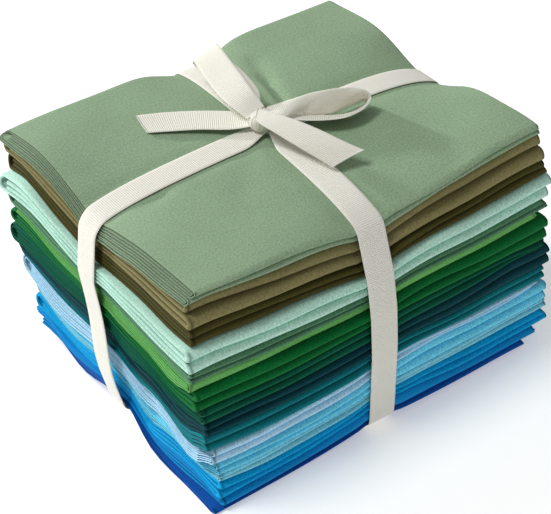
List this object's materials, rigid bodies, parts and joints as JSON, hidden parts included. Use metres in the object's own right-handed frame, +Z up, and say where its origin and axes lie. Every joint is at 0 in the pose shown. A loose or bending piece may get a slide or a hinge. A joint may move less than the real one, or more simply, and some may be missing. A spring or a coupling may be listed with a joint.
{
  "type": "fabric bundle",
  "caption": "Stack of plain cotton cloths, each folded flat in its own colour, tied crosswise with a flat ribbed ribbon that ends in a bow on top",
  "frame": {"origin": "middle of the bundle's footprint, at the level of its underside", "axes": "X along the longer side of the cloths, Y from the front folds to the back, Z up"},
  "size_m": [0.1458, 0.1233, 0.1031],
  "materials": {
    "sage_cotton": "matte plain-weave cotton, sage green",
    "khaki_cotton": "matte plain-weave cotton, khaki",
    "brown_cotton": "matte plain-weave cotton, dark olive brown",
    "mint_cotton": "matte plain-weave cotton, mint",
    "slate_cotton": "matte plain-weave cotton, slate green",
    "lime_cotton": "matte plain-weave cotton, lime green",
    "forest_cotton": "matte plain-weave cotton, forest green",
    "pine_cotton": "matte plain-weave cotton, pine green",
    "petrol_cotton": "matte plain-weave cotton, dark petrol",
    "teal_cotton": "matte plain-weave cotton, teal",
    "powder_cotton": "matte plain-weave cotton, powder blue",
    "sky_cotton": "matte plain-weave cotton, sky blue",
    "seafoam_cotton": "matte plain-weave cotton, grey aqua",
    "cerulean_cotton": "matte plain-weave cotton, cerulean blue",
    "azure_cotton": "matte plain-weave cotton, azure blue",
    "royal_cotton": "matte plain-weave cotton, royal blue",
    "cream_grosgrain": "cream grosgrain ribbon with fine cross ribs"
  },
  "bodies": {
    "root": {"cloth_01_sage": "sage_cotton", "cloth_02_khaki": "khaki_cotton", "cloth_03_brown": "brown_cotton", "cloth_04_mint": "mint_cotton", "cloth_05_slate": "slate_cotton", "cloth_06_lime": "lime_cotton", "cloth_07_forest": "forest_cotton", "cloth_08_pine": "pine_cotton", "cloth_09_petrol": "petrol_cotton", "cloth_10_teal": "teal_cotton", "cloth_11_powder": "powder_cotton", "cloth_12_sky": "sky_cotton", "cloth_13_seafoam": "seafoam_cotton", "cloth_14_cerulean": "cerulean_cotton", "cloth_15_azure": "azure_cotton", "cloth_16_royal": "royal_cotton", "ribbon_long": "cream_grosgrain", "ribbon_cross": "cream_grosgrain", "bow_knot": "cream_grosgrain", "bow_loop_left": "cream_grosgrain", "bow_loop_right": "cream_grosgrain", "bow_tail_left": "cream_grosgrain", "bow_tail_right": "cream_grosgrain"}
  },
  "joints": []
}
